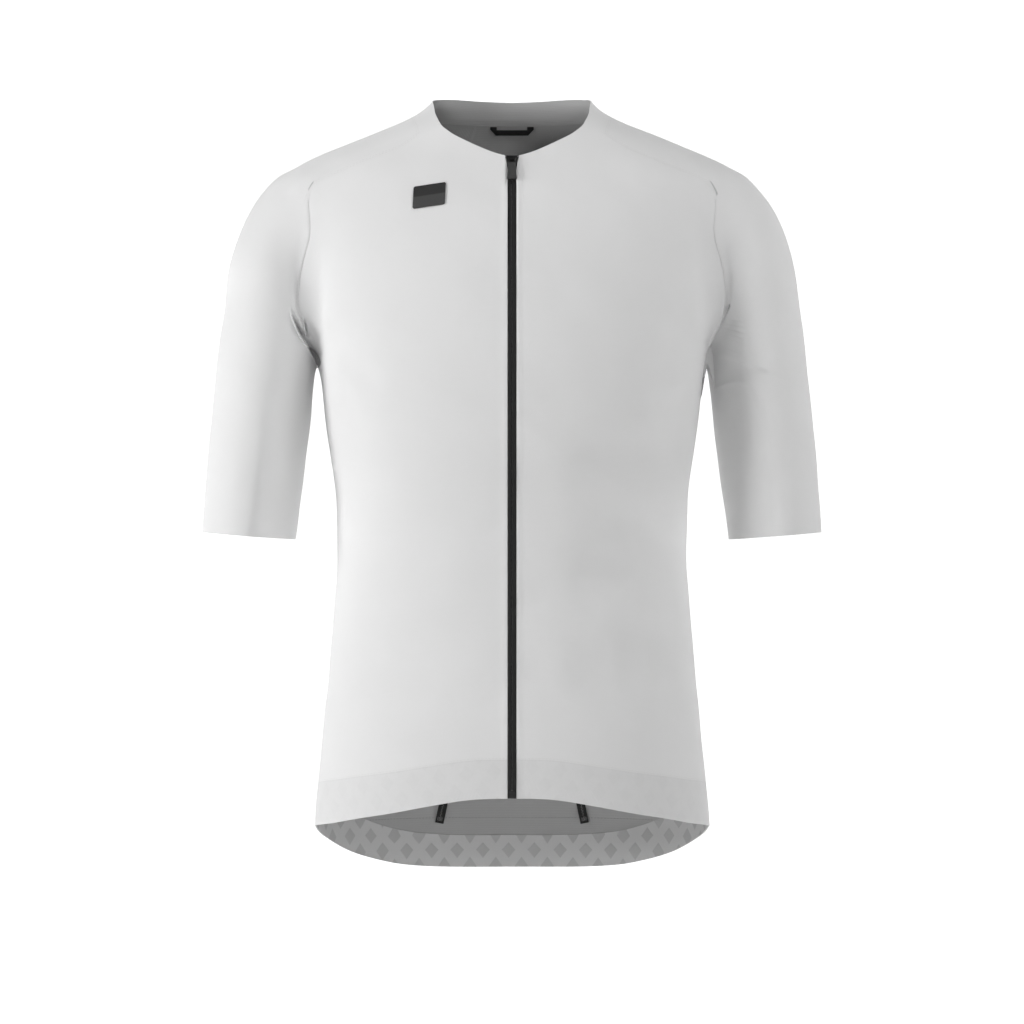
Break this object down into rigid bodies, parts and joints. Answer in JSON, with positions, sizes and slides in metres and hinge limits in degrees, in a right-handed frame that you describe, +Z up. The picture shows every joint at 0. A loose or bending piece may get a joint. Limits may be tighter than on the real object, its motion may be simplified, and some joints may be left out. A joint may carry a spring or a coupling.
{
  "type": "cycling jersey",
  "caption": "Short-sleeved cycling jersey with a full front zip, stand collar, dropped back hem and rear pockets, standing open as when it is worn.",
  "frame": {"origin": "where the wearer's shoulders carry the jersey: the middle of the neck, level with the shoulder tops beside it", "axes": "+X the wearer's left, +Y towards the wearer's back, +Z up; the zip is on the -Y side"},
  "size_m": [0.556, 0.2266, 0.7071],
  "materials": {
    "knit": "smooth matt white knit",
    "band": "white elastic gripper band, faint sheen",
    "black_tape": "black woven tape",
    "zip_elements": "black moulded zip elements",
    "slider_metal": "black lacquered metal",
    "pull_rubber": "dark grey moulded rubber",
    "label": "dark grey moulded label, bare"
  },
  "bodies": {
    "jersey": {"back": "knit", "chest_label": "label", "collar_back": "knit", "front_left": "knit", "front_right": "knit", "hanger_loop": "black_tape", "hem_back": "band", "hem_front_left": "band", "hem_front_right": "band", "pocket_panel": "knit", "pocket_tape_left": "black_tape", "pocket_tape_right": "black_tape", "sleeve_left": "knit", "sleeve_right": "knit", "zip_box": "zip_elements", "zip_chain": "zip_elements", "zip_slider": "slider_metal", "zip_tape_left": "black_tape", "zip_tape_right": "black_tape"},
    "pull_tab": {"zip_pull": "pull_rubber"}
  },
  "joints": [
    {"name": "pull_swing", "type": "hinge", "parent": "jersey", "child": "pull_tab", "pos_m": [0, -0.07345, -0.03706], "axis": [-1, 0, 0], "range_deg": [0, 170]}
  ]
}
